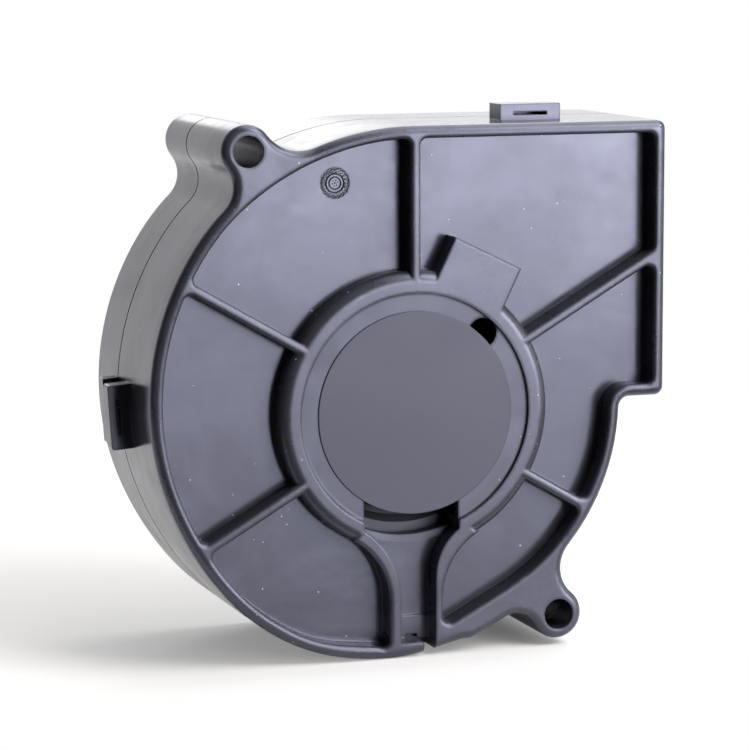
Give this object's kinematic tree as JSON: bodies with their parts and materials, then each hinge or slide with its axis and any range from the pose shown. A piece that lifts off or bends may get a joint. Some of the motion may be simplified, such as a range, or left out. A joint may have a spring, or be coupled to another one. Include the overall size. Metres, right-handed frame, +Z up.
{
  "type": "dc blower fan",
  "caption": "Flat scroll-shaped blower with a moulded two-part casing, round side inlet, rectangular outlet, ribbed back and a brushless motor that turns a drum of curved blades.",
  "frame": {"origin": "on the fan axis, in the rear mounting plane that the rim and the ribs share", "axes": "+Y along the fan axis from the ribbed back to the inlet side, +X out of the air outlet, +Z up towards the flat top side"},
  "size_m": [0.0791, 0.03, 0.0771],
  "materials": {
    "casing_plastic": "moulded black plastic with a soft sheen",
    "impeller_plastic": "moulded black plastic",
    "label_film": "blank dark grey film label",
    "brass": "turned brass",
    "bearing_steel": "ground bearing steel",
    "ball_steel": "polished steel balls in a pressed cage",
    "shaft_steel": "ground steel shaft",
    "spring_steel": "spring steel",
    "yoke_steel": "deep drawn zinc plated steel",
    "magnet_rubber": "bonded ferrite magnet",
    "core_steel": "stacked silicon steel laminations",
    "bobbin_plastic": "natural nylon",
    "copper_wire": "enamelled copper winding",
    "board_laminate": "green circuit board",
    "tinned_pins": "tinned pins",
    "chip_plastic": "moulded package",
    "capacitor_can": "drawn can"
  },
  "bodies": {
    "housing": {"rear_housing": "casing_plastic", "front_cover": "casing_plastic", "rear_label": "label_film", "bearing_tube": "brass", "rear_bearing_outer_ring": "bearing_steel", "front_bearing_outer_ring": "bearing_steel", "stator_core": "core_steel", "rear_insulator": "bobbin_plastic", "front_insulator": "bobbin_plastic", "circuit_board": "board_laminate", "winding_pins": "tinned_pins", "driver_chip": "chip_plastic", "hall_sensor": "chip_plastic", "capacitor": "capacitor_can", "resistors": "chip_plastic", "coil_1": "copper_wire", "coil_2": "copper_wire", "coil_3": "copper_wire", "coil_4": "copper_wire"},
    "rotor": {"impeller": "impeller_plastic", "rotor_yoke": "yoke_steel", "magnet_ring": "magnet_rubber", "shaft": "shaft_steel", "shaft_bushing": "brass", "rear_bearing_inner_ring": "bearing_steel", "front_bearing_inner_ring": "bearing_steel", "retaining_clip": "spring_steel", "preload_spring": "spring_steel"},
    "rear_cage": {"rear_ball_set": "ball_steel"},
    "front_cage": {"front_ball_set": "ball_steel"}
  },
  "joints": [
    {"name": "impeller_spin", "type": "hinge", "parent": "housing", "child": "rotor", "pos_m": [0, 0.0156, 0], "axis": [0, 1, 0], "continuous": true},
    {"name": "rear_cage_spin", "type": "hinge", "parent": "housing", "child": "rear_cage", "pos_m": [0, 0.0056, 0], "axis": [0, 1, 0], "continuous": true},
    {"name": "front_cage_spin", "type": "hinge", "parent": "housing", "child": "front_cage", "pos_m": [0, 0.0156, 0], "axis": [0, 1, 0], "continuous": true}
  ],
  "couplings": [
    {"joint": "rear_cage_spin", "follows": "impeller_spin", "ratio": 0.3727},
    {"joint": "front_cage_spin", "follows": "impeller_spin", "ratio": 0.3727}
  ]
}
